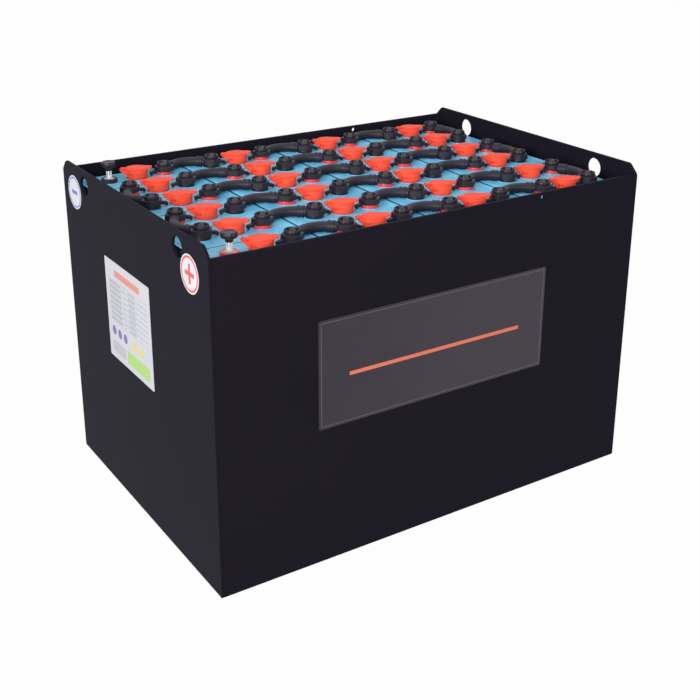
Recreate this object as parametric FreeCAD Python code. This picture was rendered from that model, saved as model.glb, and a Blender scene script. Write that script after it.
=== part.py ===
import FreeCAD, Part
import math
import os

# Lead-acid traction battery for a forklift truck: a welded steel tray with 24 cells,
# bolted flexible connectors between their poles and a flip-top vent plug in every cell.
# Millimetres. +Z is up, +X runs along the tray, and the origin is the middle of its base.
# Row 1 is the front row, on the -Y side. Column 1 is at the -X end.

Vector = FreeCAD.Vector

# Steel tray
tray_length = 830.0
tray_width = 576.0
side_height = 552.0
end_raise = 16.0
end_corner = 19.0
sheet = 5.0
lifting_hole_radius = 17.0
lifting_hole_drop = 27.0
lifting_hole_spacing = 372.0
side_hole_radius = 4.0
side_hole_drop = 8.0
side_hole_inset = 219.0

# Cells
columns = 4
rows = 6
cell_gap = 2.0
rim_rise = 23.0
lid_thickness = 4.0
jar_wall = 3.5
jar_floor = 4.0
mat_thickness = 3.0
spacer_gap = 0.5
spacer_drop = 14.0
end_spacer = 10.0
side_spacer = 7.0

# Plate packs and poles
pack_gap = 2.0
head_space = 33.0
pole_offset = 52.5
pole_radius = 9.0
pole_gap = 0.3
seal_radius = 14.5
seal_height = 7.4

# Connectors and their bolts
shroud_sides = 6
shroud_apothem = 15.0
shroud_height = 8.6
nose_length = 14.0
nose_width = 8.0
nose_height = 3.5
nose_tip_height = 3.0
nose_drop = 4.0
nose_step = 2.0
cable_radius = 7.0
cable_lift = 2.1
cable_stub = 9.0
cable_spans = 3
row_cable_angle = 40.0
end_cable_angle = 30.0
collar_radius = 8.6
bolt_radius = 5.0
bolt_gap = 0.3
bolt_head_radius = 12.5
bolt_head_height = 6.5
bolt_thread = 18.0
terminal_stem = 20.6
knob_radius = 13.0
knob_height = 9.5

# Vent plugs and their flip lids
plug_turn = -20.0
plug_base_radius = 18.2
plug_top_radius = 18.8
plug_height = 16.5
plug_bore_radius = 10.5
plug_neck_radius = 14.5
plug_neck_depth = 12.0
plug_gap = 0.5
flip_gap = 0.3
flip_thickness = 3.2
flip_radius = 20.0
tongue_reach = 27.0
tongue_half_width = 6.0
hinge_offset = 26.0
hinge_lift = 17.0
pin_radius = 1.5
pin_gap = 0.05
knuckle_radius = 3.0
knuckle_half_length = 3.0
ear_gap = 0.3
ear_thickness = 3.0
ear_reach = 5.0
ear_rise = 3.2

# Plates and labels
plate_length = 451.0
plate_height = 182.0
plate_thickness = 1.5
plate_x = -13.5
plate_z = 329.0
label_width = 183.0
label_height = 180.0
label_y = 20.5
label_z = 350.0
film_thickness = 0.4
sticker_radius = 30.0
positive_sticker_inset = 62.0
positive_sticker_drop = 40.0
negative_sticker_inset = 53.0
negative_sticker_drop = 33.0

# Number of flat sides that stand for a slim and for a wide round form
pole_sides = 6
ring_sides = 8
flip_step = 36.0

inner_half_length = tray_length / 2 - sheet
inner_half_width = tray_width / 2 - sheet
cells_half_length = inner_half_length - end_spacer - 2 * spacer_gap
cells_half_width = inner_half_width - side_spacer - 2 * spacer_gap
cell_pitch_x = (2 * cells_half_length + cell_gap) / columns
cell_pitch_y = (2 * cells_half_width + cell_gap) / rows
lid_level = side_height - rim_rise
jar_base = sheet + mat_thickness
jar_top = lid_level - lid_thickness
pack_base = jar_base + jar_floor
pack_top = jar_top - head_space
seal_top = lid_level + seal_height
cable_level = seal_top + cable_lift
shroud_top = seal_top + shroud_height


def polygon(sides, radius, turn=0.0):
    """Corners of a regular polygon in the XY plane, at a turn in degrees."""
    corners = []
    for i in range(sides):
        angle = math.radians(turn + 360.0 * i / sides)
        corners.append((radius * math.cos(angle), radius * math.sin(angle)))
    return corners


def face(points):
    return Part.Face(Part.makePolygon(points + points[:1]))


def prism(corners, low, high):
    """Upright prism over XY corners."""
    base = face([Vector(x, y, low) for x, y in corners])
    return base.extrude(Vector(0, 0, high - low))


def side_prism(profile, low_y, high_y):
    """Prism across Y over a profile of X and Z corners."""
    base = face([Vector(x, low_y, z) for x, z in profile])
    return base.extrude(Vector(0, high_y - low_y, 0))


def block(x_range, y_range, z_range):
    size = [high - low for low, high in (x_range, y_range, z_range)]
    corner = Vector(x_range[0], y_range[0], z_range[0])
    return Part.makeBox(size[0], size[1], size[2], corner)


def skin(sections):
    """Closed solid through sections that have the same number of corners."""
    faces = [face(sections[0]), face(sections[-1])]
    for first, second in zip(sections, sections[1:]):
        for i in range(len(first)):
            j = (i + 1) % len(first)
            faces.append(face([first[i], first[j], second[j], second[i]]))
    solid = Part.Solid(Part.Shell(faces))
    if solid.Volume < 0:
        solid.reverse()
    return solid


def moved(shape, x, y):
    return shape.translated(Vector(x, y, 0))


def turned(shape, angle):
    """Copy turned about the upright axis by degrees."""
    return shape.rotated(Vector(0, 0, 0), Vector(0, 0, 1), angle)


def cell_centres():
    """Row, column and centre of every cell, counted from the front left one."""
    for row in range(1, rows + 1):
        for column in range(1, columns + 1):
            x = (column - (columns + 1) / 2) * cell_pitch_x
            y = (row - (rows + 1) / 2) * cell_pitch_y
            yield row, column, x, y


def pole_places(positive):
    """Centres of all the positive or negative poles: they change ends from row to row."""
    places = []
    for row, column, x, y in cell_centres():
        left_is_positive = row % 2 == 1
        side = -1 if left_is_positive == positive else 1
        places.append((x + side * pole_offset, y))
    return places


def save(node, shapes):
    Part.makeCompound(shapes).exportStep("parts/" + node + ".step")


# Tray

def tray_floor():
    length = (-inner_half_length, inner_half_length)
    return block(length, (-inner_half_width, inner_half_width), (0, sheet))


def side_plate(side):
    """Long side of the tray, welded on the edge of the floor, with a small hole near its rim."""
    width = sorted((side * inner_half_width, side * tray_width / 2))
    plate = block((-inner_half_length, inner_half_length), width, (0, side_height))
    hole_x = tray_length / 2 - side_hole_inset
    start = Vector(hole_x, side * tray_width, side_height - side_hole_drop)
    return plate.cut(Part.makeCylinder(side_hole_radius, tray_width, start, Vector(0, -side, 0)))


def end_plate(end):
    """End plate that stands above the long sides, with cropped corners and two lifting holes."""
    half = tray_width / 2
    top = side_height + end_raise
    outline = [
        (-half, 0),
        (half, 0),
        (half, top - end_corner),
        (half - end_corner, top),
        (end_corner - half, top),
        (-half, top - end_corner),
    ]
    outside = end * tray_length / 2
    plate = face([Vector(outside, y, z) for y, z in outline]).extrude(Vector(-end * sheet, 0, 0))
    for side in (-1, 1):
        start = Vector(outside + end * sheet, side * lifting_hole_spacing / 2, top - lifting_hole_drop)
        plate = plate.cut(Part.makeCylinder(lifting_hole_radius, 3 * sheet, start, Vector(-end, 0, 0)))
    return plate


def floor_mat():
    return block(
        (-inner_half_length + spacer_gap, inner_half_length - spacer_gap),
        (-inner_half_width + spacer_gap, inner_half_width - spacer_gap),
        (sheet, jar_base),
    )


def packing_sheets():
    """Sheets that fill the space between the cells and the four walls of the tray."""
    far_x = inner_half_length - spacer_gap
    far_y = inner_half_width - spacer_gap
    height = (jar_base, lid_level - spacer_drop)
    sheets = []
    for side in (-1, 1):
        across = sorted((side * (far_x - end_spacer), side * far_x))
        sheets.append(block(across, (-far_y, far_y), height))
        across = sorted((side * (far_y - side_spacer), side * far_y))
        sheets.append(block((-cells_half_length, cells_half_length), across, height))
    return sheets


# Cells

def cell_range(pitch, inset):
    half = (pitch - cell_gap) / 2 - inset
    return (-half, half)


def cell_jar():
    outside = block(cell_range(cell_pitch_x, 0), cell_range(cell_pitch_y, 0), (jar_base, jar_top))
    inside = block(
        cell_range(cell_pitch_x, jar_wall),
        cell_range(cell_pitch_y, jar_wall),
        (jar_base + jar_floor, jar_top + jar_floor),
    )
    return outside.cut(inside)


def cell_lid():
    """Heat-sealed cover with a hole for each pole and one for the vent plug."""
    cover = block(cell_range(cell_pitch_x, 0), cell_range(cell_pitch_y, 0), (jar_top, lid_level))
    vent = prism(polygon(pole_sides, plug_neck_radius + plug_gap, plug_turn), jar_top, lid_level)
    pole = prism(polygon(pole_sides, pole_radius + pole_gap), jar_top, lid_level)
    return cover.cut([vent, moved(pole, -pole_offset, 0), moved(pole, pole_offset, 0)])


def plate_pack():
    """Stack of plates and separators with its lead straps, standing on the floor of the jar."""
    return block(
        cell_range(cell_pitch_x, jar_wall + pack_gap),
        cell_range(cell_pitch_y, jar_wall + pack_gap),
        (pack_base, pack_top),
    )


def pole():
    """Lead pole that stands on the strap of its plates."""
    return prism(polygon(pole_sides, pole_radius), pack_top, seal_top)


def pole_seal():
    ring = prism(polygon(pole_sides, seal_radius), lid_level, seal_top)
    return ring.cut(prism(polygon(pole_sides, pole_radius + pole_gap), lid_level, seal_top))


# Vent plugs

def vent_plug():
    """Bayonet plug with a filling bore, a neck through the cell lid and two hinge ears."""
    top = lid_level + plug_height
    body = skin([
        [Vector(x, y, lid_level) for x, y in polygon(ring_sides, plug_base_radius)],
        [Vector(x, y, top) for x, y in polygon(ring_sides, plug_top_radius)],
    ])
    neck = prism(polygon(pole_sides, plug_neck_radius), lid_level - plug_neck_depth, lid_level)
    tip = hinge_offset + ear_reach
    root = plug_base_radius * math.cos(math.pi / ring_sides)
    ear_profile = [
        (-tip, top),
        (-hinge_offset, top + ear_rise),
        (-hinge_offset + ear_reach, top),
        (-root, top),
        (-root, lid_level + ear_rise),
    ]
    ear_inside = knuckle_half_length + ear_gap
    ears = []
    for side in (-1, 1):
        low, high = sorted((side * ear_inside, side * (ear_inside + ear_thickness)))
        ears.append(side_prism(ear_profile, low, high))
    bore = prism(polygon(pole_sides, plug_bore_radius), lid_level - plug_neck_depth, top)
    return body.fuse([neck] + ears).cut(bore).removeSplitter()


def hinge_pin():
    """Pin from ear to ear, through the knuckle of the flip lid."""
    half = knuckle_half_length + ear_gap + ear_thickness
    centre = lid_level + hinge_lift
    corners = [(x - hinge_offset, z + centre) for x, z in polygon(pole_sides, pin_radius)]
    return side_prism(corners, -half, half)


def flip_lid():
    """Round lid with a lifting tongue, and an arm that ends in the hinge knuckle."""
    low = lid_level + plug_height + flip_gap
    reach = math.sqrt(flip_radius ** 2 - knuckle_half_length ** 2)
    upper = [
        (tongue_reach, tongue_half_width / 2),
        (tongue_reach - tongue_half_width / 2, tongue_half_width),
    ]
    angle = flip_step
    while angle < 180 - flip_step / 2:
        turn = math.radians(angle)
        upper.append((flip_radius * math.cos(turn), flip_radius * math.sin(turn)))
        angle += flip_step
    upper.append((-reach, knuckle_half_length))
    upper.append((-hinge_offset, knuckle_half_length))
    lower = [(x, -y) for x, y in reversed(upper)]
    plate = prism(upper + lower, low, low + flip_thickness)
    centre = lid_level + hinge_lift
    corners = [(x - hinge_offset, z + centre) for x, z in polygon(pole_sides, knuckle_radius)]
    knuckle = side_prism(corners, -knuckle_half_length, knuckle_half_length)
    hole_radius = (pin_radius + pin_gap) / math.cos(math.pi / pole_sides)
    corners = [(x - hinge_offset, z + centre) for x, z in polygon(pole_sides, hole_radius)]
    hole = side_prism(corners, -hinge_offset, hinge_offset)
    return plate.fuse(knuckle).cut(hole).removeSplitter()


# Connectors

def shroud(cable_turn, nose_side):
    """Six-sided moulding round the cable lug, with a flat towards the cable and a nose."""
    corner_radius = shroud_apothem / math.cos(math.pi / shroud_sides)
    half_turn = 180.0 / shroud_sides
    body = prism(polygon(shroud_sides, corner_radius, cable_turn + half_turn), seal_top, shroud_top)
    tip = shroud_apothem + nose_length
    low = seal_top - nose_drop
    profile = [
        (0, seal_top),
        (corner_radius, seal_top),
        (corner_radius + nose_step, low),
        (tip, low),
        (tip, low + nose_tip_height),
        (corner_radius, seal_top + nose_height),
        (0, seal_top + nose_height),
    ]
    nose = side_prism([(nose_side * x, z) for x, z in profile], -nose_width / 2, nose_width / 2)
    hole = prism(polygon(pole_sides, bolt_radius + bolt_gap), seal_top, shroud_top)
    return body.fuse(nose).cut(hole).removeSplitter()


def cable_sections(start, end, angle, bow):
    """Ring sections of a cable that bows to one side of the line between two poles."""
    along = (end - start).normalize()
    aside = Vector(-along.y, along.x, 0) * bow
    slope = math.radians(angle)
    leave = along * math.cos(slope) + aside * math.sin(slope)
    arrive = along * math.cos(slope) - aside * math.sin(slope)
    first = start + leave * (shroud_apothem + cable_stub)
    last = end - arrive * (shroud_apothem + cable_stub)
    bend = (last - first).Length / 2 / math.sin(slope)
    middle = (first + last) / 2 - aside * bend * math.cos(slope)
    stations = [(start + leave * shroud_apothem, slope)]
    for i in range(cable_spans + 1):
        turn = slope * (1 - 2.0 * i / cable_spans)
        stations.append((middle + (along * math.sin(-turn) + aside * math.cos(turn)) * bend, turn))
    sections = []
    for centre, turn in stations:
        outward = aside * math.cos(turn) - along * math.sin(turn)
        sections.append([
            centre + outward * y + Vector(0, 0, z)
            for y, z in polygon(pole_sides, cable_radius)
        ])
    return sections, last, arrive


def connector(start, end, angle, bow):
    """Cable and end collar of one flexible connector between two poles."""
    sections, joint, direction = cable_sections(start, end, angle, bow)
    aside = Vector(-direction.y, direction.x, 0)
    collar = []
    for step in (0, cable_stub):
        centre = joint + direction * step
        collar.append([
            centre + aside * y + Vector(0, 0, z)
            for y, z in polygon(pole_sides, collar_radius)
        ])
    return skin(sections), skin(collar)


def cable_end(row, column_end):
    """Centre of an outer pole in a row, at cable height."""
    x = column_end * ((columns - 1) / 2 * cell_pitch_x + pole_offset)
    y = (row - (rows + 1) / 2) * cell_pitch_y
    return Vector(x, y, cable_level)


def row_connections():
    """Pairs of poles joined along X, from one cell to the next in its row."""
    pairs = []
    for row, column, x, y in cell_centres():
        if column < columns:
            start = Vector(x + pole_offset, y, cable_level)
            pairs.append((start, start + Vector(cell_pitch_x - 2 * pole_offset, 0, 0)))
    return pairs


def end_connections(column_end):
    """Pairs of outer poles joined along Y, so that all the cells are in series."""
    first_row = 1 if column_end > 0 else 2
    pairs = []
    for row in range(first_row, rows, 2):
        pairs.append((cable_end(row + 1, column_end), cable_end(row, column_end)))
    return pairs


def pole_bolt(stem):
    """Bolt that holds a connector on its pole. Its thread sits in the pole."""
    head = prism(polygon(ring_sides, bolt_head_radius), stem, stem + bolt_head_height)
    shank = prism(polygon(pole_sides, bolt_radius), seal_top - bolt_thread, stem)
    return head.fuse(shank)


# Writing the nodes

def write_tray():
    save("tray_floor", [tray_floor()])
    save("side_plate_front", [side_plate(-1)])
    save("side_plate_back", [side_plate(1)])
    save("end_plate_left", [end_plate(-1)])
    save("end_plate_right", [end_plate(1)])
    save("floor_mat", [floor_mat()])
    save("packing_sheets", packing_sheets())


def write_cells():
    jar = cell_jar()
    lid = cell_lid()
    pack = plate_pack()
    centres = list(cell_centres())
    save("cell_jars", [moved(jar, x, y) for row, column, x, y in centres])
    save("plate_packs", [moved(pack, x, y) for row, column, x, y in centres])
    for number in range(1, rows + 1):
        lids = [moved(lid, x, y) for row, column, x, y in centres if row == number]
        save("cell_lids_row_" + str(number), lids)
    lead = pole()
    seal = pole_seal()
    for name, positive in (("positive", True), ("negative", False)):
        save(name + "_poles", [moved(lead, x, y) for x, y in pole_places(positive)])
        save(name + "_pole_seals", [moved(seal, x, y) for x, y in pole_places(positive)])


def write_vents():
    plug = turned(vent_plug(), plug_turn)
    pin = turned(hinge_pin(), plug_turn)
    flip = turned(flip_lid(), plug_turn)
    centres = list(cell_centres())
    save("vent_plug_bodies", [moved(plug, x, y) for row, column, x, y in centres])
    save("vent_hinge_pins", [moved(pin, x, y) for row, column, x, y in centres])
    for row, column, x, y in centres:
        save("vent_lid_row_%d_cell_%d" % (row, column), [moved(flip, x, y)])


def write_connectors():
    row_cables = []
    row_collars = []
    row_shrouds = []
    bolts = []
    bolt = pole_bolt(shroud_top)
    left_shroud = shroud(row_cable_angle, -1)
    right_shroud = shroud(180 - row_cable_angle, 1)
    for start, end in row_connections():
        cable, collar = connector(start, end, row_cable_angle, 1)
        row_cables.append(cable)
        row_collars.append(collar)
        row_shrouds.append(moved(left_shroud, start.x, start.y))
        row_shrouds.append(moved(right_shroud, end.x, end.y))
        bolts.append(moved(bolt, start.x, start.y))
        bolts.append(moved(bolt, end.x, end.y))
    end_cables = []
    end_collars = []
    end_shrouds = []
    for side in (-1, 1):
        back_turn = -90 + side * end_cable_angle
        front_turn = 90 - side * end_cable_angle
        back_shroud = shroud(back_turn, -side)
        front_shroud = shroud(front_turn, -side)
        for back, front in end_connections(side):
            collar_at = front if side < 0 else back
            other = back if side < 0 else front
            cable, collar = connector(other, collar_at, end_cable_angle, -1)
            end_cables.append(cable)
            end_collars.append(collar)
            end_shrouds.append(moved(back_shroud, back.x, back.y))
            end_shrouds.append(moved(front_shroud, front.x, front.y))
            bolts.append(moved(bolt, back.x, back.y))
            bolts.append(moved(bolt, front.x, front.y))
    save("row_connector_cables", row_cables)
    save("row_connector_collars", row_collars)
    save("row_connector_shrouds", row_shrouds)
    save("end_connector_cables", end_cables)
    save("end_connector_collars", end_collars)
    save("end_connector_shrouds", end_shrouds)
    save("pole_bolts", bolts)


def write_terminals():
    """Battery terminals: bolts part way out of the two outer poles at the -X end."""
    stem = seal_top + terminal_stem
    shank = prism(polygon(ring_sides, bolt_radius), seal_top - bolt_thread, stem)
    knob = prism(polygon(2 * ring_sides, knob_radius), stem, stem + knob_height)
    for name, row in (("positive", 1), ("negative", rows)):
        place = cable_end(row, -1)
        save(name + "_terminal_bolt", [moved(shank, place.x, place.y)])
        save(name + "_terminal_knob", [moved(knob, place.x, place.y)])


def write_labels():
    front = -tray_width / 2
    left = -tray_length / 2
    plate = block(
        (plate_x - plate_length / 2, plate_x + plate_length / 2),
        (front - plate_thickness, front),
        (plate_z - plate_height / 2, plate_z + plate_height / 2),
    )
    label = block(
        (left - film_thickness, left),
        (label_y - label_width / 2, label_y + label_width / 2),
        (label_z - label_height / 2, label_z + label_height / 2),
    )
    save("name_plate", [plate])
    save("data_label", [label])
    corners = polygon(3 * ring_sides, sticker_radius)
    for name, side, inset, drop in (
        ("positive", -1, positive_sticker_inset, positive_sticker_drop),
        ("negative", 1, negative_sticker_inset, negative_sticker_drop),
    ):
        centre = Vector(left, side * (tray_width / 2 - inset), side_height - drop)
        disc = face([centre + Vector(0, y, z) for y, z in corners])
        save(name + "_sticker", [disc.extrude(Vector(-film_thickness, 0, 0))])


os.makedirs("parts", exist_ok=True)
write_tray()
write_cells()
write_vents()
write_connectors()
write_terminals()
write_labels()
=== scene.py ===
import math

import bmesh
import bpy
from mathutils import Matrix, Vector


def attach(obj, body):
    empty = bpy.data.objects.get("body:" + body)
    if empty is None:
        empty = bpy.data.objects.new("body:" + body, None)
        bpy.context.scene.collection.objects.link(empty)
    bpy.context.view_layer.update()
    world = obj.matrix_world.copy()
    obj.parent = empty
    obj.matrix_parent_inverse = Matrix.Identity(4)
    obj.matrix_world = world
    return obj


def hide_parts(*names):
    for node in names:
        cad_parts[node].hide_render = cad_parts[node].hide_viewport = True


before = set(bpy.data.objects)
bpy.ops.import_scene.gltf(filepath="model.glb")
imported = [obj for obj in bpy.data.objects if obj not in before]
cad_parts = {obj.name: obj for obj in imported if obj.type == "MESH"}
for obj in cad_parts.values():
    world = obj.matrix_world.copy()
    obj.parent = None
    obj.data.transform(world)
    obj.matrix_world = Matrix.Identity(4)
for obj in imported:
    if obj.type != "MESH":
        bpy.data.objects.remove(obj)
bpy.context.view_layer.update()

MM = 0.001
BODY = "battery"

# Tray, in millimetres
HALF_LENGTH = 415.0
HALF_WIDTH = 288.0
SHEET = 5.0
SIDE_HEIGHT = 552.0
END_HEIGHT = 568.0
CORNER_CROP = 19.0
LIFTING_HOLE_Y = 186.0
LIFTING_HOLE_Z = 541.0
LIFTING_HOLE_RADIUS = 17.0
SIDE_HOLE_X = 196.0
SIDE_HOLE_Z = 544.0
SIDE_HOLE_RADIUS = 4.0

# Cells and poles
PITCH_X = 200.0
PITCH_Y = 92.0
LID_LEVEL = 529.0
POLE_OFFSET = 52.5
POLE_FOOT = 492.0
SEAL_TOP = 536.4

# Connectors: a cable leaves its pole at an angle to the line between the poles
SHROUD_TOP = 545.0
SHROUD_FLAT = 15.0
CABLE_LEVEL = 537.6
CABLE_RADIUS = 8.3
CABLE_STUB = 9.0
ROW_ANGLE = 40.0
END_ANGLE = 30.0
KNOB_RISE = 20.6

# Vent plugs: their turn in the cell, and the hinge axis from the plug's seat
PLUG_TURN = -20.0
HINGE_X = -26.0
HINGE_Z = 17.0

# Name plate, data label and stickers
PLATE_LOW = (-239.0, 238.0)
PLATE_HIGH = (212.0, 420.0)
PLATE_MIDDLE = (-13.5, 329.0)
PLATE_THICKNESS = 1.5
LABEL_LOW = (-71.0, 260.0)
LABEL_HIGH = (112.0, 440.0)
FILM = 0.4
STICKER_RADIUS = 30.0
POSITIVE_STICKER = (-226.0, 512.0)
NEGATIVE_STICKER = (235.0, 519.0)


# Shader expressions

class Value:
    """One number that varies over a surface."""

    def __init__(self, paint, socket):
        self.paint = paint
        self.socket = socket

    def math(self, operation, *values):
        return self.paint.node("ShaderNodeMath", {"operation": operation}, dict(enumerate(values)))

    def __add__(self, other):
        return self.math("ADD", self, other)

    __radd__ = __add__

    def __sub__(self, other):
        return self.math("SUBTRACT", self, other)

    def __rsub__(self, other):
        return self.math("SUBTRACT", other, self)

    def __mul__(self, other):
        return self.math("MULTIPLY", self, other)

    __rmul__ = __mul__

    def __lt__(self, other):
        return self.math("LESS_THAN", self, other)

    def __gt__(self, other):
        return self.math("GREATER_THAN", self, other)

    def __abs__(self):
        return self.math("ABSOLUTE", self)

    def smooth(self, low, high):
        """0 below low, 1 above high and a soft step between them."""
        settings = {"interpolation_type": "SMOOTHSTEP"}
        inputs = {"Value": self, "From Min": low, "From Max": high}
        return self.paint.node("ShaderNodeMapRange", settings, inputs)


class Finish:
    """A material of one of the battery's surfaces, with its grain, wear and gloss."""

    def __init__(self, name, roughness=0.5, metallic=0.0, coat=0.0, specular=0.5):
        self.material = bpy.data.materials.new(name)
        self.material.use_nodes = True
        self.tree = self.material.node_tree
        self.shader = self.tree.nodes["Principled BSDF"]
        self.shader.inputs["Roughness"].default_value = roughness
        self.shader.inputs["Metallic"].default_value = metallic
        self.shader.inputs["Coat Weight"].default_value = coat
        self.shader.inputs["Specular IOR Level"].default_value = specular
        self.shader.inputs["Coat Roughness"].default_value = 0.12
        self.place = self.node("ShaderNodeTexCoord", {}, {}, "Object")

    def node(self, kind, settings, inputs, output=0):
        made = self.tree.nodes.new(kind)
        for key, value in settings.items():
            setattr(made, key, value)
        for key, value in inputs.items():
            if isinstance(value, Value):
                self.tree.links.new(value.socket, made.inputs[key])
            else:
                made.inputs[key].default_value = value
        return Value(self, made.outputs[output])

    def axes(self):
        """X, Y and Z of the surface point, in millimetres."""
        split = self.node("ShaderNodeSeparateXYZ", {}, {0: self.place})
        outputs = split.socket.node.outputs
        return [Value(self, outputs[i]) * 1000.0 for i in range(3)]

    def noise(self, size, detail=2.0, roughness=0.5, stretch=(1.0, 1.0, 1.0)):
        """Noise whose blotches are about size millimetres across."""
        place = self.node("ShaderNodeMapping", {}, {"Vector": self.place, "Scale": stretch})
        inputs = {"Vector": place, "Scale": 1000.0 / size, "Detail": detail, "Roughness": roughness}
        return self.node("ShaderNodeTexNoise", {}, inputs)

    def mix(self, factor, first, second):
        """Colour that goes from first to second."""
        settings = {"data_type": "RGBA", "clamp_factor": True}
        return self.node("ShaderNodeMix", settings, {0: factor, 6: first, 7: second}, 2)

    def set(self, socket, value):
        self.tree.links.new(value.socket, self.shader.inputs[socket])

    def relief(self, height, depth):
        """Bump of the given depth in millimetres."""
        self.set("Normal", self.node("ShaderNodeBump", {}, {"Distance": depth * MM, "Height": height}))


def rgb(red, green, blue):
    return (red, green, blue, 1.0)


def tray_paint():
    """Satin black powder coat: fine orange peel, faint cloudiness and a little dust."""
    paint = Finish("tray_powder_coat", 0.5, specular=0.02)
    peel = paint.noise(1.6, 2.0)
    cloud = paint.noise(140.0, 3.0, 0.6)
    dust = paint.noise(9.0, 5.0, 0.7).smooth(0.62, 0.8)
    base = paint.mix(cloud, rgb(0.0102, 0.0087, 0.0146), rgb(0.0124, 0.0105, 0.0175))
    paint.set("Base Color", paint.mix(dust * 0.04, base, rgb(0.09, 0.085, 0.09)))
    paint.set("Roughness", 0.46 + cloud * 0.1 + dust * 0.1)
    paint.relief(peel, 0.05)
    return paint.material


def moulded(name, dark, light, roughness, grain=0.6, depth=0.04, coat=0.0):
    """Injection-moulded plastic with a fine grain and slightly uneven colour."""
    plastic = Finish(name, roughness, 0.0, coat)
    uneven = plastic.noise(22.0, 3.0, 0.6)
    texture = plastic.noise(grain, 2.0)
    plastic.set("Base Color", plastic.mix(uneven, dark, light))
    plastic.set("Roughness", roughness - 0.06 + uneven * 0.08 + texture * 0.04)
    plastic.relief(texture, depth)
    return plastic.material


def cell_lid_plastic():
    """Light blue lid plastic with smears of old acid film, and painted shade in the seams between the
    cells.
    """
    plastic = Finish("cell_lid_plastic", 0.35, specular=0.2)
    uneven = plastic.noise(42.0, 5.0, 0.65).smooth(0.3, 0.7)
    film = plastic.noise(14.0, 6.0, 0.75).smooth(0.56, 0.78)
    base = plastic.mix(uneven, rgb(0.13, 0.49, 0.8), rgb(0.25, 0.72, 1.0))
    base = plastic.mix(film * 0.25, base, rgb(0.32, 0.46, 0.55))
    x, y, z = plastic.axes()
    along = plastic.node("ShaderNodeMath", {"operation": "PINGPONG"}, {0: x, 1: PITCH_X / 2})
    across = plastic.node("ShaderNodeMath", {"operation": "PINGPONG"}, {0: y, 1: PITCH_Y / 2})
    # Painted shade in the seams: the lid's edges next to the gaps between the cells, and its side faces
    # below the top, go near black.
    free_of_painted_shade = along.smooth(1.2, 2.4) * across.smooth(0.8, 1.6)
    free_of_painted_shade = free_of_painted_shade * z.smooth(LID_LEVEL - 0.9, LID_LEVEL - 0.3)
    plastic.set("Base Color", plastic.mix(free_of_painted_shade, rgb(0.006, 0.018, 0.034), base))
    plastic.set("Roughness", 0.3 + uneven * 0.1 + film * 0.12)
    plastic.relief(plastic.noise(0.8, 2.0), 0.04)
    return plastic.material


def plug_plastic():
    """Orange-red vent plug plastic, semi-gloss with flow marks."""
    plastic = Finish("vent_plug_plastic", 0.42, specular=0.1)
    flow = plastic.noise(11.0, 4.0, 0.6, (1.0, 1.0, 2.5))
    grain = plastic.noise(0.7, 2.0)
    plastic.set("Base Color", plastic.mix(flow, rgb(0.9, 0.062, 0.024), rgb(1.0, 0.118, 0.068)))
    plastic.set("Roughness", 0.38 + flow * 0.1 + grain * 0.04)
    plastic.relief(grain, 0.04)
    return plastic.material


def moulded_rubber(name, roughness):
    """Brownish black rubber and plastic with faint bloom and mould grain."""
    rubber = Finish(name, roughness, specular=0.28)
    bloom = rubber.noise(7.0, 5.0, 0.7)
    grain = rubber.noise(0.9, 3.0)
    rubber.set("Base Color", rubber.mix(bloom, rgb(0.011, 0.0088, 0.0148), rgb(0.024, 0.0192, 0.0305)))
    rubber.set("Roughness", roughness - 0.08 + bloom * 0.16)
    rubber.relief(grain, 0.1)
    return rubber.material


def bright_steel():
    """Zinc-plated steel of the terminal stems, with fine turning marks."""
    steel = Finish("bright_steel", 0.22, 1.0)
    marks = steel.noise(1.2, 3.0, 0.6, (1.0, 1.0, 6.0))
    steel.set("Base Color", steel.mix(marks, rgb(0.68, 0.69, 0.7), rgb(0.86, 0.87, 0.88)))
    steel.set("Roughness", 0.16 + marks * 0.16)
    steel.relief(marks, 0.02)
    return steel.material


def cast_lead(name, dark, light):
    """Dull grey lead with a soft mottled oxide."""
    lead = Finish(name, 0.55, 0.85)
    oxide = lead.noise(6.0, 6.0, 0.7)
    lead.set("Base Color", lead.mix(oxide, dark, light))
    lead.set("Roughness", 0.42 + oxide * 0.3)
    lead.relief(lead.noise(1.5, 4.0), 0.12)
    return lead.material


def inside(x, y, centre, half):
    """1 in a rectangle round a centre."""
    return (abs(x - centre[0]) < half[0]) * (abs(y - centre[1]) < half[1])


def disc(x, y, centre, radius):
    """1 in a disc round a centre."""
    across = x - centre[0]
    up = y - centre[1]
    return (across * across + up * up) < radius * radius


def name_plate_film():
    """Dark grey plate with a painted reflection that makes it paler to the right, brushed film, a fine pale
    border and a plain coral rule.
    """
    film = Finish("name_plate_film", 0.4, specular=0.25)
    x, y, z = film.axes()
    streak = film.noise(26.0, 4.0, 0.65, (0.35, 1.0, 3.0))
    grain = film.noise(1.1, 3.0)
    base = film.mix(streak, rgb(0.023, 0.0185, 0.0265), rgb(0.038, 0.03, 0.0425))
    # Painted reflection: the plate's colour grows paler towards the right.
    base = film.mix(x.smooth(-260.0, 120.0) * 0.55, base, rgb(0.053, 0.041, 0.055))
    border = inside(x, z, PLATE_MIDDLE, (221.5, 87.0)) - inside(x, z, PLATE_MIDDLE, (220.5, 86.0))
    rule = inside(x, z, (PLATE_MIDDLE[0], PLATE_MIDDLE[1] - 7.0), (170.0, 3.2))
    base = film.mix(border * 0.6, base, rgb(0.2, 0.17, 0.19))
    film.set("Base Color", film.mix(rule, base, rgb(0.72, 0.19, 0.11)))
    film.set("Roughness", 0.36 + streak * 0.14)
    film.relief(grain + rule * 0.6, 0.05)
    return film.material


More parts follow.
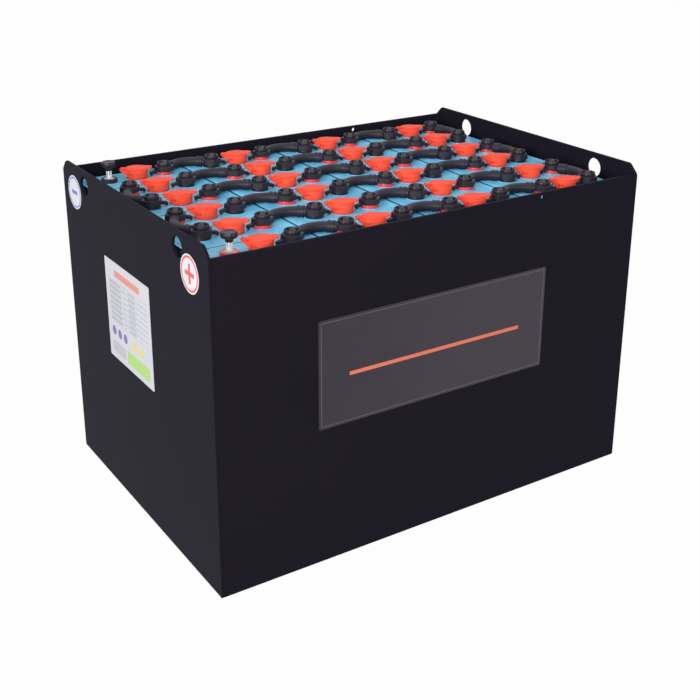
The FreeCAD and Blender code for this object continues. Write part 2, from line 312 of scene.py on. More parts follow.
def data_label_film():
    """White label: a coral head bar, ruled rows with grey fields, and plain colour fields."""
    film = Finish("data_label_film", 0.3, 0.0, 0.2)
    x, y, z = film.axes()
    across = LABEL_HIGH[0] - y
    down = LABEL_HIGH[1] - z
    rows = inside(across, down, (91.5, 72.0), (80.0, 38.0))
    step = film.node("ShaderNodeMath", {"operation": "PINGPONG"}, {0: down - 34.0, 1: 4.75})
    line = (step < 0.45) * rows
    upright = (abs(across - 76.0) < 0.45) * rows
    words = rows * (step > 2.9) * (abs(across - 40.0) < 24.0)
    figures = rows * (step > 2.9) * (abs(across - 108.0) < 14.0)
    base = film.mix(film.noise(30.0, 3.0), rgb(0.55, 0.555, 0.63), rgb(0.61, 0.615, 0.68))
    base = film.mix(inside(across, down, (91.5, 20.0), (52.0, 6.0)), base, rgb(0.72, 0.2, 0.13))
    for mask, strength in ((line, 0.8), (upright, 0.8), (words, 0.55), (figures, 0.45)):
        base = film.mix(mask * strength, base, rgb(0.12, 0.12, 0.14))
    for number in range(3):
        base = film.mix(disc(across, down, (24.0 + 24.0 * number, 128.0), 8.5), base, rgb(0.16, 0.07, 0.35))
    for number in range(2):
        dot = disc(across, down, (112.0 + 28.0 * number, 128.0), 8.5)
        base = film.mix(dot, base, rgb(0.75, 0.6, 0.08))
    base = film.mix(inside(across, down, (123.0, 158.0), (46.0, 12.0)), base, rgb(0.35, 0.62, 0.1))
    base = film.mix(inside(across, down, (42.0, 158.0), (28.0, 10.0)), base, rgb(0.45, 0.45, 0.5))
    film.set("Base Color", base)
    film.set("Roughness", 0.26 + film.noise(12.0, 3.0) * 0.1)
    film.relief(film.noise(3.0, 2.0), 0.03)
    return film.material


def sticker_film(name, centre, ink, ring_width, arms):
    """White round sticker with a coloured ring and a polarity mark made of bars."""
    film = Finish(name, 0.3, 0.0, 0.2)
    x, y, z = film.axes()
    across = y - centre[0]
    up = z - centre[1]
    ring = disc(across, up, (0.0, 0.0), 27.5) - disc(across, up, (0.0, 0.0), 27.5 - ring_width)
    base = film.mix(film.noise(8.0, 3.0), rgb(0.66, 0.66, 0.72), rgb(0.72, 0.72, 0.78))
    base = film.mix(ring, base, ink)
    for half in arms:
        base = film.mix(inside(across, up, (0.0, 0.0), half), base, ink)
    film.set("Base Color", base)
    film.set("Roughness", 0.26 + film.noise(6.0, 3.0) * 0.1)
    film.relief(film.noise(2.0, 2.0), 0.03)
    return film.material


# Meshes

def at(x=0.0, y=0.0, z=0.0, turn=0.0):
    """Placement at millimetres, turned about Z by degrees."""
    return Matrix.Translation(Vector((x, y, z)) * MM) @ Matrix.Rotation(math.radians(turn), 4, "Z")


def slab(bm, low, high):
    """Block between two corners. Gives its faces."""
    size = [b - a for a, b in zip(low, high)]
    centre = [(a + b) / 2 for a, b in zip(low, high)]
    matrix = at(*centre) @ Matrix.Diagonal((size[0] * MM, size[1] * MM, size[2] * MM, 1.0))
    verts = bmesh.ops.create_cube(bm, size=1.0, matrix=matrix)["verts"]
    return sorted({f for v in verts for f in v.link_faces}, key=lambda f: f.index)


def sharp_edges(faces, angle=28.0):
    found = {e for f in faces for e in f.edges}
    return [e for e in found if len(e.link_faces) == 2 and e.calc_face_angle(0.0) > math.radians(angle)]


def soften(bm, edges, width, segments=2):
    bmesh.ops.bevel(bm, geom=edges, offset=width * MM, offset_type="OFFSET", segments=segments,
                    profile=0.5, affect="EDGES", clamp_overlap=True, material=-1)


def revolve(bm, profile, steps=32, closed=False):
    """Surface swept round Z from (radius, height) corners."""
    verts = [bm.verts.new((r * MM, 0.0, z * MM)) for r, z in profile]
    edges = [bm.edges.new(pair) for pair in zip(verts, verts[1:])]
    if closed:
        edges.append(bm.edges.new((verts[-1], verts[0])))
    start = len(bm.faces)
    bmesh.ops.spin(bm, geom=verts + edges, cent=(0, 0, 0), axis=(0, 0, 1), angle=2 * math.pi,
                   steps=steps, use_merge=True)
    bmesh.ops.remove_doubles(bm, verts=bm.verts, dist=1e-6)
    bm.faces.ensure_lookup_table()
    return bm.faces[start:]


def outline(bm, corners, depth, axis):
    """Plate over corners given in millimetres, drawn out along an axis."""
    face = bm.faces.new([bm.verts.new(Vector(c) * MM) for c in corners])
    drawn = bmesh.ops.extrude_face_region(bm, geom=[face])["geom"]
    moved = [g for g in drawn if isinstance(g, bmesh.types.BMVert)]
    bmesh.ops.translate(bm, verts=moved, vec=Vector(axis) * depth * MM)
    return moved


def template(build):
    """Mesh of one piece round its own origin."""
    bm = bmesh.new()
    build(bm)
    bmesh.ops.remove_doubles(bm, verts=bm.verts, dist=1e-6)
    bmesh.ops.recalc_face_normals(bm, faces=bm.faces)
    mesh = bpy.data.meshes.new("template")
    bm.to_mesh(mesh)
    bm.free()
    return mesh


def gather(*groups):
    """One mesh from templates and the placements of their copies."""
    bm = bmesh.new()
    for mesh, places in groups:
        for place in places:
            start = len(bm.verts)
            bm.from_mesh(mesh)
            bm.verts.ensure_lookup_table()
            bmesh.ops.transform(bm, matrix=place, verts=bm.verts[start:])
    return bm


def piece(name, bm, material, stands_for, body=BODY, sharp=32.0):
    mesh = bpy.data.meshes.new(name)
    bm.to_mesh(mesh)
    bm.free()
    mesh.materials.append(material)
    mesh.shade_smooth()
    mesh.set_sharp_from_angle(angle=math.radians(sharp))
    obj = bpy.data.objects.new(name, mesh)
    bpy.context.scene.collection.objects.link(obj)
    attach(obj, body)
    if stands_for:
        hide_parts(*stands_for)
    return obj


# Places

def cells():
    """Row, column and centre of every cell."""
    for row in range(1, 7):
        for column in range(1, 5):
            yield row, column, (column - 2.5) * PITCH_X, (row - 3.5) * PITCH_Y


def poles(positive):
    """Centres of the positive or negative poles, which change ends from row to row."""
    for row, column, x, y in cells():
        side = -1 if (row % 2 == 1) == positive else 1
        yield x + side * POLE_OFFSET, y


def row_links():
    """Left pole of each connector along a row."""
    return [(x + POLE_OFFSET, y) for row, column, x, y in cells() if column < 4]


def end_links():
    """Side, and Y of the front pole, of each connector at the ends of two rows."""
    links = []
    for side in (-1, 1):
        for row in range(1 if side > 0 else 2, 6, 2):
            links.append((side, (row - 3.5) * PITCH_Y))
    return links


END_POLE = 1.5 * PITCH_X + POLE_OFFSET
LINK_SPAN = PITCH_X - 2 * POLE_OFFSET


# Tray

def drilled_plate(bm, corners, holes, radius, depth, axis):
    """Plate with round holes, drawn out along an axis. The holes' centres are given in 3-D."""
    verts = [bm.verts.new(Vector(c) * MM) for c in corners]
    edges = [bm.edges.new(pair) for pair in zip(verts, verts[1:] + verts[:1])]
    face_to = Vector(axis).to_track_quat("Z", "Y").to_matrix().to_4x4()
    for hole in holes:
        ring = bmesh.ops.create_circle(bm, cap_ends=False, segments=40, radius=radius * MM,
                                       matrix=Matrix.Translation(Vector(hole) * MM) @ face_to)["verts"]
        edges += list({e for v in ring for e in v.link_edges})
    flat = bmesh.ops.triangle_fill(bm, use_beauty=True, use_dissolve=True, edges=edges)["geom"]
    faces = [g for g in flat if isinstance(g, bmesh.types.BMFace)]
    drawn = bmesh.ops.extrude_face_region(bm, geom=faces)["geom"]
    moved = [g for g in drawn if isinstance(g, bmesh.types.BMVert)]
    bmesh.ops.translate(bm, verts=moved, vec=Vector(axis) * depth * MM)
    bmesh.ops.recalc_face_normals(bm, faces=bm.faces)


def end_plate(side):
    """End plate with cropped corners that run in a soft curve, and two lifting holes."""
    bm = bmesh.new()
    x = side * HALF_LENGTH
    w, top, crop = HALF_WIDTH, END_HEIGHT, CORNER_CROP
    corners = [(x, -w, 0), (x, w, 0), (x, w, top - crop), (x, w - 2, top - crop + 4),
               (x, w - crop + 4, top - 2), (x, w - crop, top), (x, crop - w, top),
               (x, crop - w - 4, top - 2), (x, 2 - w, top - crop + 4), (x, -w, top - crop)]
    holes = [(x, s * LIFTING_HOLE_Y, LIFTING_HOLE_Z) for s in (-1, 1)]
    drilled_plate(bm, corners, holes, LIFTING_HOLE_RADIUS, SHEET, (-side, 0, 0))
    soften(bm, sharp_edges(bm.faces), 0.7)
    return bm


def long_side(side):
    """Long side between the end plates, with one small hole near its rim."""
    bm = bmesh.new()
    y = side * HALF_WIDTH
    length = HALF_LENGTH - SHEET
    corners = [(-length, y, 0), (length, y, 0), (length, y, SIDE_HEIGHT), (-length, y, SIDE_HEIGHT)]
    drilled_plate(bm, corners, [(SIDE_HOLE_X, y, SIDE_HOLE_Z)], SIDE_HOLE_RADIUS, SHEET, (0, -side, 0))
    rim_level = (SIDE_HOLE_Z - SIDE_HOLE_RADIUS - 0.5) * MM
    rim = [e for e in sharp_edges(bm.faces) if all(v.co.z > rim_level for v in e.verts)]
    soften(bm, rim, 0.8)
    return bm


def weld_bead(bm):
    """Short ripples of an inner corner weld, from below the packing to the rim."""
    verts = bmesh.ops.create_circle(bm, cap_ends=True, segments=10, radius=3.2 * MM,
                                    matrix=at(0, 0, 505.0))["verts"]
    face = verts[0].link_faces[0]
    for number in range(22):
        drawn = bmesh.ops.extrude_face_region(bm, geom=[face])["geom"]
        ring = [g for g in drawn if isinstance(g, bmesh.types.BMVert)]
        face = next(g for g in drawn if isinstance(g, bmesh.types.BMFace))
        bmesh.ops.translate(bm, verts=ring, vec=(0, 0, 2.1 * MM))
        middle = sum((v.co for v in ring), Vector()) / len(ring)
        size = 0.84 if number % 2 == 0 else 1 / 0.84
        bmesh.ops.scale(bm, verts=ring, vec=(size, size, 1.0), space=Matrix.Translation(-middle))


def build_tray(paint):
    bm = bmesh.new()
    inner = HALF_WIDTH - SHEET
    slab(bm, (SHEET - HALF_LENGTH, -inner, 0.0), (HALF_LENGTH - SHEET, inner, SHEET))
    piece("tray_floor_plate", bm, paint, ["tray_floor"], sharp=12)
    for side, word in ((-1, "front"), (1, "back")):
        piece("tray_long_side_" + word, long_side(side), paint, ["side_plate_" + word],
              sharp=12)
    for side, word in ((-1, "left"), (1, "right")):
        piece("tray_end_" + word, end_plate(side), paint, ["end_plate_" + word], sharp=12)
    bead = 0.8
    corner = (HALF_LENGTH - SHEET - bead, inner - bead)
    corners = [at(sx * corner[0], sy * corner[1]) for sx in (-1, 1) for sy in (-1, 1)]
    piece("tray_corner_welds", gather((template(weld_bead), corners)), paint, [])


# Cells

def cell_lid(bm):
    """Lid with softened edges, a raised rim round the plug and the poles, and two end ribs."""
    faces = slab(bm, (-99.0, -45.0, -4.0), (99.0, 45.0, 0.0))
    soften(bm, sharp_edges(faces), 0.5, 2)
    for x, inner, outer in ((0.0, 18.9, 21.6), (-POLE_OFFSET, 15.2, 17.4), (POLE_OFFSET, 15.2, 17.4)):
        start = len(bm.verts)
        revolve(bm, [(inner, -0.4), (inner + 0.3, 0.8), (outer - 0.3, 0.8), (outer, -0.4)], 40)
        bm.verts.ensure_lookup_table()
        bmesh.ops.translate(bm, verts=bm.verts[start:], vec=(x * MM, 0, 0))
    for x in (-92.0, 92.0):
        rib = slab(bm, (x - 0.6, -38.0, -0.4), (x + 0.6, 38.0, 0.8))
        soften(bm, sharp_edges(rib), 0.35)


def pole_seal(bm):
    profile = [(9.4, 0.0), (14.5, 0.0), (14.5, 5.8), (14.1, 6.9), (13.2, 7.4), (9.9, 7.4), (9.4, 6.9)]
    revolve(bm, profile, 32, closed=True)


def lead_pole(bm):
    foot = POLE_FOOT - LID_LEVEL
    profile = [(0.0, foot), (9.0, foot), (9.0, 6.8), (8.4, 7.4), (5.2, 7.4), (0.0, 7.4)]
    revolve(bm, profile, 24)


def build_cells(lid_blue, red, black, lead):
    lid = template(cell_lid)
    for number in range(1, 7):
        places = [at(x, y, LID_LEVEL) for row, column, x, y in cells() if row == number]
        piece("cell_lids_of_row_%d" % number, gather((lid, places)), lid_blue,
              ["cell_lids_row_%d" % number], sharp=22)
    seal = template(pole_seal)
    post = template(lead_pole)
    kinds = (("positive", True, red, "red_seal"), ("negative", False, black, "black_seal"))
    for word, positive, plastic, slot in kinds:
        places = [at(x, y, LID_LEVEL) for x, y in poles(positive)]
        piece(word + "_seal_rings", gather((seal, places)), plastic, [word + "_pole_seals"], sharp=50)
        piece(word + "_lead_poles", gather((post, places)), lead, [word + "_poles"])


# Vent plugs

def plug_cup(bm):
    """Tapered cup with a neck and a bore, a hooked slot and a solid gusset that ends in two hinge ears."""
    profile = [(10.5, -12.0), (14.3, -12.0), (14.3, 0.0), (17.9, 0.0), (18.4, 0.7), (18.6, 5.6),
               (18.7, 8.4), (18.7, 9.8), (18.8, 11.4), (18.9, 12.4), (19.1, 15.6), (18.5, 16.5),
               (11.4, 16.5), (10.5, 15.6)]
    faces = revolve(bm, profile, 48, closed=True)
    slot = []
    for f in faces:
        middle = f.calc_center_median()
        turn = math.degrees(math.atan2(middle.y, middle.x)) % 360
        radius = math.hypot(middle.x, middle.y) / MM
        height = middle.z / MM
        level = 209 < turn < 241 and 8.4 < height < 9.8
        left_leg = 209 < turn < 218 and 5.6 < height < 11.4
        right_end = 234 < turn < 241 and 9.8 < height < 11.4
        if radius > 17.5 and (level or left_leg or right_end):
            slot.append(f)
    drawn = bmesh.ops.extrude_face_region(bm, geom=slot)["geom"]
    sunk = [g for g in drawn if isinstance(g, bmesh.types.BMVert)]
    bmesh.ops.delete(bm, geom=slot, context="FACES_ONLY")
    bmesh.ops.scale(bm, verts=sunk, vec=(0.8, 0.8, 1.0))
    for side in (-1, 1):
        corners = [(-30.8, side * 3.3, 16.6), (-29.2, side * 3.3, 18.3), (-26.4, side * 3.3, 19.6),
                   (-24.0, side * 3.3, 18.7), (-21.6, side * 3.3, 16.5), (-14.0, side * 3.3, 16.5),
                   (-14.0, side * 3.3, 3.2), (-16.6, side * 3.3, 3.4)]
        ends = outline(bm, corners, 3.0, (0, side, 0))
        for v in ends:
            v.co.y -= side * max(0.0, -v.co.x / MM - 22.0) * 0.13 * MM
    gusset = [(-27.0, -5.9, 13.4), (-14.0, -5.9, 13.4), (-14.0, -5.9, 3.2), (-16.6, -5.9, 3.4)]
    outline(bm, gusset, 11.8, (0, 1, 0))


def hinge_pin(bm):
    turn = Matrix.Rotation(math.radians(90), 4, "X")
    bmesh.ops.create_cone(bm, cap_ends=True, segments=16, radius1=1.5 * MM, radius2=1.5 * MM,
                          depth=12.4 * MM, matrix=at(HINGE_X, 0, HINGE_Z) @ turn)
    soften(bm, sharp_edges(bm.faces, 60), 0.35)


def flip_lid(bm):
    """Leaf-shaped lid: a shallow dome, a lifting tongue, an arm with its knuckle and a sealing spigot."""
    verts = bmesh.ops.create_circle(bm, cap_ends=True, segments=72, radius=MM,
                                    matrix=at(0, 0, 16.8))["verts"]
    for v in verts:
        toward, aside = v.co.x / MM, v.co.y / MM
        if toward > 0:
            v.co.x = 27.0 * toward * MM
            v.co.y = 16.4 * aside * (1.0 - 0.22 * math.sin(math.pi * toward ** 1.5)) * MM
        else:
            v.co.x = 20.4 * toward * MM
            v.co.y = 16.4 * aside * MM
    plate = verts[0].link_faces[0]
    drawn = bmesh.ops.extrude_face_region(bm, geom=[plate])["geom"]
    top = next(g for g in drawn if isinstance(g, bmesh.types.BMFace))
    bmesh.ops.translate(bm, verts=top.verts, vec=(0, 0, 2.7 * MM))
    for thickness, rise in ((0.6, 0.3), (1.4, 0.1), (3.6, 0.1)):
        bmesh.ops.inset_region(bm, faces=[top], thickness=thickness * MM, depth=0.0, use_even_offset=True)
        bmesh.ops.translate(bm, verts=top.verts, vec=(0, 0, rise * MM))
    for v in bm.verts:
        v.co.z += max(0.0, v.co.x / MM - 17.0) * 0.05 * MM
    arm = slab(bm, (-26.0, -3.0, 17.0), (-18.0, 3.0, 19.9))
    soften(bm, sharp_edges(arm), 0.4)
    turn = Matrix.Rotation(math.radians(90), 4, "X")
    knuckle = bmesh.ops.create_cone(bm, cap_ends=True, segments=20, radius1=3.0 * MM, radius2=3.0 * MM,
                                    depth=6.0 * MM, matrix=at(HINGE_X, 0, HINGE_Z) @ turn)["verts"]
    soften(bm, sharp_edges({f for v in knuckle for f in v.link_faces}, 60), 0.4)
    revolve(bm, [(8.4, 17.0), (8.4, 14.6), (9.6, 14.6), (9.9, 15.2), (9.9, 17.0)], 32)


def build_vents(orange, pin_plastic):
    cup = template(plug_cup)
    places = [at(x, y, LID_LEVEL, PLUG_TURN) for row, column, x, y in cells()]
    piece("vent_plug_cups", gather((cup, places)), orange, ["vent_plug_bodies"], sharp=38)
    bm = gather((template(hinge_pin), places))
    piece("vent_plug_pins", bm, pin_plastic, ["vent_hinge_pins"])
    lid = template(flip_lid)
    for row, column, x, y in cells():
        node = "vent_lid_row_%d_cell_%d" % (row, column)
        bm = gather((lid, [at(x, y, LID_LEVEL, PLUG_TURN)]))
        piece("flip_lid_row_%d_cell_%d" % (row, column), bm, orange, [node],
              body=node, sharp=38)


# Connectors

def shroud(cable_turn, nose_side, with_boot):
    """Six-sided skirt, a round seat for the bolt head, a nose that drops to the lid and a cable root."""
    def build(bm):
        turn = Matrix.Rotation(math.radians(cable_turn + 30), 4, "Z")
        verts = bmesh.ops.create_cone(bm, cap_ends=True, segments=6, radius1=18.5 * MM, radius2=18.0 * MM,
                                      depth=8.6 * MM, matrix=at(0, 0, 3.5) @ turn)["verts"]
        faces = {f for v in verts for f in v.link_faces}
        upright = [e for e in sharp_edges(faces) if abs(e.verts[0].co.z - e.verts[1].co.z) > MM]
        soften(bm, upright, 0.9, 2)
        top = max(bm.faces, key=lambda f: f.calc_center_median().z)
        for inset, rise in ((0.6, 0.6), (1.6, 0.1)):
            bmesh.ops.inset_region(bm, faces=[top], thickness=inset * MM, depth=0.0, use_even_offset=True)
            bmesh.ops.translate(bm, verts=top.verts, vec=(0, 0, rise * MM))
        revolve(bm, [(0.0, 8.0), (12.2, 8.0), (12.2, 8.9), (0.0, 8.9)], 32)
        profile = ((11.0, -0.6), (16.4, -0.6), (17.4, -3.6), (24.2, -4.2), (25.4, -6.9), (26.4, -6.9),
                   (27.4, -4.2), (28.2, -3.2), (28.0, -1.0), (26.2, 0.2), (17.4, 2.0), (11.0, 2.2))
        nose = outline(bm, [(nose_side * x, -4.0, z) for x, z in profile], 8.0, (0, 1, 0))
        soften(bm, sharp_edges({f for v in nose for f in v.link_faces}, 50), 0.7, 2)
        for v in bm.verts:
            over = abs(v.co.x) / MM - 18.0
            if over > 0 and v.co.x * nose_side > 0 and abs(v.co.y) < 4.5 * MM:
                v.co.y *= 1.0 - over * 0.016
        aim = Matrix.Rotation(math.radians(cable_turn), 4, "Z") @ Matrix.Rotation(math.radians(90), 4, "Y")
        lift = at(0, 0, CABLE_LEVEL - SEAL_TOP)
        root = bmesh.ops.create_cone(bm, cap_ends=True, segments=24, radius1=9.0 * MM, radius2=8.6 * MM,
                                     depth=5.6 * MM, matrix=lift @ aim @ at(0, 0, 15.8))["verts"]
        for v in root:
            v.co.z = max(v.co.z, -6.0 * MM)
        if with_boot:
            for number in range(3):
                place = lift @ aim @ at(0, 0, 19.3 + 2.5 * number)
                rib = bmesh.ops.create_cone(bm, cap_ends=True, segments=24, radius1=9.1 * MM,
                                            radius2=9.1 * MM, depth=1.3 * MM, matrix=place)["verts"]
                soften(bm, sharp_edges({f for v in rib for f in v.link_faces}, 60), 0.5)
    return template(build)


def cable(span, angle, bow):
    """Tube that leaves two poles at an angle and bows to one side of the line between them."""
    slope = math.radians(angle)
    reach = SHROUD_FLAT + CABLE_STUB
    leave = Vector((math.cos(slope), bow * math.sin(slope), 0.0))
    first = leave * reach
    bend = (span - 2 * first.x) / 2 / math.sin(slope)
    middle = Vector((span / 2, first.y - bow * bend * math.cos(slope), 0.0))

    def build(bm):
        face_to = leave.to_track_quat("Z", "Y").to_matrix().to_4x4()
        start = Matrix.Translation(leave * 12.0 * MM)
        ring = bmesh.ops.create_circle(bm, cap_ends=False, segments=20, radius=CABLE_RADIUS * MM,
                                       matrix=start @ face_to)["verts"]
        edges = list({e for v in ring for e in v.link_edges})
        drawn = bmesh.ops.extrude_edge_only(bm, edges=edges)["geom"]
        ring = [g for g in drawn if isinstance(g, bmesh.types.BMVert)]
        edges = [g for g in drawn if isinstance(g, bmesh.types.BMEdge)]
        bmesh.ops.translate(bm, verts=ring, vec=leave * (reach - 12.0) * MM)
        last = bmesh.ops.spin(bm, geom=ring + edges, cent=middle * MM, axis=(0, 0, 1),
                              angle=-2 * slope * bow, steps=14)["geom_last"]
        edges = [g for g in last if isinstance(g, bmesh.types.BMEdge)]
        drawn = bmesh.ops.extrude_edge_only(bm, edges=edges)["geom"]
        ring = [g for g in drawn if isinstance(g, bmesh.types.BMVert)]
        bmesh.ops.translate(bm, verts=ring, vec=Vector((leave.x, -leave.y, 0.0)) * (reach - 12.0) * MM)
        ends = [e for e in bm.edges if e.is_boundary]
        bmesh.ops.holes_fill(bm, edges=ends, sides=0)
    return template(build)


def collar(span, angle, bow):
    """Stepped sleeve between the cable and the shroud at the far pole."""
    slope = math.radians(180.0 - angle)
    aim = Vector((math.cos(slope), bow * math.sin(slope), 0.0))

    def build(bm):
        profile = [(7.0, 16.6), (9.5, 16.6), (10.0, 17.1), (10.0, 19.6), (9.5, 20.0), (9.5, 24.6),
                   (10.0, 25.0), (10.0, 27.6), (9.4, 28.4), (7.0, 28.4)]
        revolve(bm, profile, 28, closed=True)
        turn = Matrix.Translation((span * MM, 0, 0)) @ aim.to_track_quat("Z", "Y").to_matrix().to_4x4()
        bmesh.ops.transform(bm, matrix=turn, verts=bm.verts)
    return template(build)


def bolt_head(bm):
    """Insulated bolt head: scalloped skirt, round rim and a deep dish with a boss and a test hole."""
    profile = [(0.0, -1.0), (11.8, -1.0), (11.8, 0.8), (12.7, 1.3), (12.8, 5.4), (12.4, 6.1),
               (11.8, 6.4), (11.0, 6.2), (10.6, 5.5), (10.2, 1.8), (5.8, 1.6), (5.2, 4.6),
               (4.4, 5.2), (2.8, 5.1), (2.4, 4.4), (2.1, 1.2), (0.0, 1.2)]
    revolve(bm, profile, 36)
    for v in bm.verts:
        radius = math.hypot(v.co.x, v.co.y) / MM
        turn = round(math.degrees(math.atan2(v.co.y, v.co.x)) / 10.0)
        if radius > 9.0 and turn % 6 == 0 and v.co.z > 1.2 * MM:
            v.co.x *= 0.93
            v.co.y *= 0.93


def build_connectors(rubber, head_plastic):
    left = shroud(ROW_ANGLE, -1, True)
    right = shroud(180.0 - ROW_ANGLE, 1, False)
    row_left = [at(x, y, SEAL_TOP) for x, y in row_links()]
    row_right = [at(x + LINK_SPAN, y, SEAL_TOP) for x, y in row_links()]
    piece("row_link_shrouds", gather((left, row_left), (right, row_right)), rubber,
          ["row_connector_shrouds"])
    level = [at(x, y, CABLE_LEVEL) for x, y in row_links()]
    piece("row_link_cables", gather((cable(LINK_SPAN, ROW_ANGLE, 1), level)), rubber,
          ["row_connector_cables"])
    piece("row_link_collars", gather((collar(LINK_SPAN, ROW_ANGLE, 1), level)), rubber,
          ["row_connector_collars"])

    cords, near, far = [], [], []
    heads = [(x, y) for x, y in row_links()] + [(x + LINK_SPAN, y) for x, y in row_links()]
    for side, front in end_links():
        x = side * END_POLE
        start_y = front if side > 0 else front + PITCH_Y
        cords.append(at(x, start_y, CABLE_LEVEL, 90.0 if side > 0 else -90.0))
        near.append((side, at(x, start_y, SEAL_TOP)))
        far.append((side, at(x, front + PITCH_Y if side > 0 else front, SEAL_TOP)))
        heads += [(x, front), (x, front + PITCH_Y)]
    groups = []
    for side in (-1, 1):
        near_turn = 90.0 - END_ANGLE if side > 0 else -90.0 - END_ANGLE
        far_turn = -90.0 + END_ANGLE if side > 0 else 90.0 + END_ANGLE
        groups.append((shroud(near_turn, -side, True), [place for s, place in near if s == side]))
        groups.append((shroud(far_turn, -side, False), [place for s, place in far if s == side]))
    piece("end_link_shrouds", gather(*groups), rubber, ["end_connector_shrouds"])
    piece("end_link_cables", gather((cable(PITCH_Y, END_ANGLE, -1), cords)), rubber,
          ["end_connector_cables"])
    piece("end_link_collars", gather((collar(PITCH_Y, END_ANGLE, -1), cords)), rubber,
          ["end_connector_collars"])
    places = [at(x, y, SHROUD_TOP) for x, y in heads]
    piece("pole_bolt_heads", gather((template(bolt_head), places)), head_plastic,
          ["pole_bolts"])


# Terminals

def terminal_stem(bm):
    """Threaded stem that stands out of the pole."""
    profile = [(0.0, -18.0), (4.4, -18.0), (4.4, 0.0)]
    level = 0.4
    while level < 15.5:
        profile += [(4.95, level), (4.3, level + 0.75)]
        level += 1.5
    profile += [(4.4, 16.2), (4.4, 21.0), (0.0, 21.0)]
    revolve(bm, profile, 24)


def terminal_knob(bm):
    """Fluted knob with a neck under it and a shallow dish on top."""
    profile = [(4.5, -6.0), (6.0, -6.0), (6.4, -2.6), (7.6, -0.6), (11.4, 0.0), (12.8, 0.9), (13.0, 2.0),
               (13.0, 7.2), (12.2, 8.8), (10.8, 9.4), (9.2, 9.1), (8.2, 8.5), (0.0, 8.5)]
    revolve(bm, profile, 60)
    for v in bm.verts:
        radius = math.hypot(v.co.x, v.co.y) / MM
        if radius > 10.0:
            flute = 1.0 - 0.045 * (1.0 - math.cos(10.0 * math.atan2(v.co.y, v.co.x)))
            v.co.x *= flute
            v.co.y *= flute


def build_terminals(steel, head_plastic):
    stem = template(terminal_stem)
    knob = template(terminal_knob)
    for word, y in (("positive", -2.5 * PITCH_Y), ("negative", 2.5 * PITCH_Y)):
        bm = gather((stem, [at(-END_POLE, y, SEAL_TOP)]))
        piece(word + "_terminal_stem", bm, steel, [word + "_terminal_bolt"])
        bm = gather((knob, [at(-END_POLE, y, SEAL_TOP + KNOB_RISE)]))
        piece(word + "_terminal_grip", bm, head_plastic, [word + "_terminal_knob"])


# Plate, label and stickers

def build_print():
    bm = bmesh.new()
    front = -HALF_WIDTH - PLATE_THICKNESS
    faces = slab(bm, (PLATE_LOW[0], front, PLATE_LOW[1]), (PLATE_HIGH[0], -HALF_WIDTH, PLATE_HIGH[1]))
    soften(bm, [e for e in sharp_edges(faces) if abs(e.verts[0].co.y - e.verts[1].co.y) > MM], 3.0, 4)
    raised = (front + 0.1) * MM
    soften(bm, [e for e in sharp_edges(bm.faces) if all(v.co.y < raised for v in e.verts)], 0.4)
    piece("front_name_plate", bm, name_plate_film(), ["name_plate"], sharp=12)
    bm = bmesh.new()
    faces = slab(bm, (-HALF_LENGTH - FILM, *LABEL_LOW), (-HALF_LENGTH, *LABEL_HIGH))
    soften(bm, [e for e in sharp_edges(faces) if abs(e.verts[0].co.x - e.verts[1].co.x) > 0.1 * MM], 3.0, 4)
    piece("end_data_label", bm, data_label_film(), ["data_label"])
    marks = (("positive", POSITIVE_STICKER, rgb(0.75, 0.03, 0.03), 3.4, [(15.5, 3.4), (3.4, 15.5)]),
             ("negative", NEGATIVE_STICKER, rgb(0.04, 0.12, 0.55), 2.6, [(13.0, 3.4)]))
    turn = Matrix.Rotation(math.radians(90), 4, "Y")
    for word, centre, ink, ring_width, arms in marks:
        bm = bmesh.new()
        bmesh.ops.create_cone(bm, cap_ends=True, segments=64, radius1=STICKER_RADIUS * MM,
                              radius2=STICKER_RADIUS * MM, depth=FILM * MM,
                              matrix=at(-HALF_LENGTH - FILM / 2, *centre) @ turn)
        film = sticker_film(word + "_sticker_film", centre, ink, ring_width, arms)
        piece("round_" + word + "_sticker", bm, film, [word + "_sticker"])


# Carried-over solids

def dress(node, material):
    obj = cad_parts[node]
    obj.data.materials.clear()
    obj.data.materials.append(material)


# Surroundings

def white_to_camera(tree, shade, strength):
    """Mixes plain white into what the camera, reflections and clear pieces see."""
    path = tree.nodes.new("ShaderNodeLightPath")
    seen = path.outputs["Is Camera Ray"]
    for ray in ("Is Glossy Ray", "Is Transmission Ray"):
        either = tree.nodes.new("ShaderNodeMath")
        either.operation = "MAXIMUM"
        tree.links.new(seen, either.inputs[0])
        tree.links.new(path.outputs[ray], either.inputs[1])
        seen = either.outputs[0]
    share = tree.nodes.new("ShaderNodeMath")
    share.operation = "MULTIPLY"
    share.inputs[1].default_value = strength
    tree.links.new(seen, share.inputs[0])
    mix = tree.nodes.new("ShaderNodeMixShader")
    tree.links.new(share.outputs[0], mix.inputs[0])
    tree.links.new(shade, mix.inputs[1])
    return mix


def build_floor():
    bm = bmesh.new()
    bmesh.ops.create_circle(bm, cap_ends=True, segments=96, radius=9.0)
    mesh = bpy.data.meshes.new("studio_floor")
    bm.to_mesh(mesh)
    bm.free()
    material = bpy.data.materials.new("studio_floor_white")
    material.use_nodes = True
    tree = material.node_tree
    shader = tree.nodes["Principled BSDF"]
    shader.inputs["Base Color"].default_value = rgb(0.18, 0.18, 0.18)
    shader.inputs["Roughness"].default_value = 0.9
    glow = tree.nodes.new("ShaderNodeEmission")
    glow.inputs["Color"].default_value = rgb(1.0, 1.0, 1.0)
    mix = white_to_camera(tree, shader.outputs[0], 0.985)
    tree.links.new(glow.outputs[0], mix.inputs[2])
    tree.links.new(mix.outputs[0], tree.nodes["Material Output"].inputs["Surface"])
    mesh.materials.append(material)
    floor = bpy.data.objects.new("studio_floor", mesh)
    bpy.context.scene.collection.objects.link(floor)


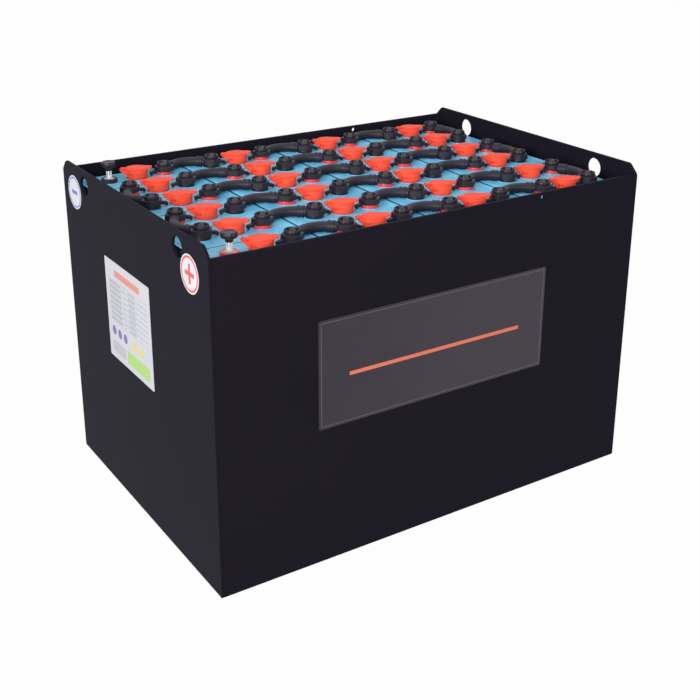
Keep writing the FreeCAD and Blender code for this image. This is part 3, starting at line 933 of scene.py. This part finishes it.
def build_world():
    world = bpy.data.worlds.new("studio")
    world.use_nodes = True
    tree = world.node_tree
    room = tree.nodes["Background"]
    room.inputs["Color"].default_value = rgb(1.0, 1.0, 1.0)
    room.inputs["Strength"].default_value = 0.5
    seen = tree.nodes.new("ShaderNodeBackground")
    seen.inputs["Color"].default_value = rgb(1.0, 1.0, 1.0)
    seen.inputs["Strength"].default_value = 1.0
    mix = white_to_camera(tree, room.outputs[0], 1.0)
    tree.links.new(seen.outputs[0], mix.inputs[2])
    tree.links.new(mix.outputs[0], tree.nodes["World Output"].inputs["Surface"])
    bpy.context.scene.world = world


def lamp(name, place, aim, size, power):
    light = bpy.data.lights.new(name, "AREA")
    light.shape = "RECTANGLE"
    light.size, light.size_y = size
    light.energy = power
    obj = bpy.data.objects.new(name, light)
    obj.location = place
    obj.rotation_euler = (Vector(aim) - Vector(place)).to_track_quat("-Z", "Y").to_euler()
    bpy.context.scene.collection.objects.link(obj)


def build_camera():
    data = bpy.data.cameras.new("camera")
    data.sensor_width = 36.0
    data.lens = 58.744
    data.shift_y = -0.13
    obj = bpy.data.objects.new("camera", data)
    right = Vector((0.8393, -0.54366, 0.00309))
    up = Vector((0.18097, 0.28475, 0.94136))
    back = right.cross(up)
    turn = Matrix((right, up, back)).transposed().to_4x4()
    obj.matrix_world = Matrix.Translation((-1.05416, -1.63033, 1.08241)) @ turn
    bpy.context.scene.collection.objects.link(obj)
    bpy.context.scene.camera = obj


paint = tray_paint()
blue = cell_lid_plastic()
orange = plug_plastic()
pin_plastic = moulded("hinge_pin_plastic", rgb(0.6, 0.05, 0.02), rgb(0.7, 0.08, 0.03), 0.4)
red = moulded("red_seal_plastic", rgb(0.88, 0.035, 0.04), rgb(1.0, 0.07, 0.07), 0.3, coat=0.3)
black = moulded_rubber("black_seal_plastic", 0.4)
rubber = moulded_rubber("connector_rubber", 0.46)
head_plastic = moulded_rubber("bolt_head_plastic", 0.36)
lead = cast_lead("pole_lead", rgb(0.42, 0.42, 0.43), rgb(0.66, 0.66, 0.67))
jar = moulded("jar_plastic", rgb(0.05, 0.14, 0.2), rgb(0.08, 0.19, 0.27), 0.45, 1.2, 0.08)
packing = moulded("packing_plastic", rgb(0.022, 0.022, 0.025), rgb(0.045, 0.045, 0.05), 0.6, 2.5, 0.15)
plates = cast_lead("plate_pack_lead", rgb(0.2, 0.2, 0.22), rgb(0.36, 0.36, 0.38))

build_tray(paint)
build_cells(blue, red, black, lead)
build_vents(orange, pin_plastic)
build_connectors(rubber, head_plastic)
build_terminals(bright_steel(), head_plastic)
build_print()
dress("cell_jars", jar)
dress("plate_packs", plates)
dress("floor_mat", packing)
dress("packing_sheets", packing)

build_floor()
build_world()
lamp("key_left", (-2.6, -1.7, 1.3), (0, 0, 0.5), (1.6, 1.2), 84.0)
lamp("fill_front", (-0.9, -3.0, 1.5), (0, 0, 0.5), (1.6, 1.2), 27.0)
lamp("soft_top", (0.3, 0.2, 3.0), (0, 0, 0.5), (2.0, 1.6), 11.0)
build_camera()

scene = bpy.context.scene
scene.view_settings.view_transform = "Standard"
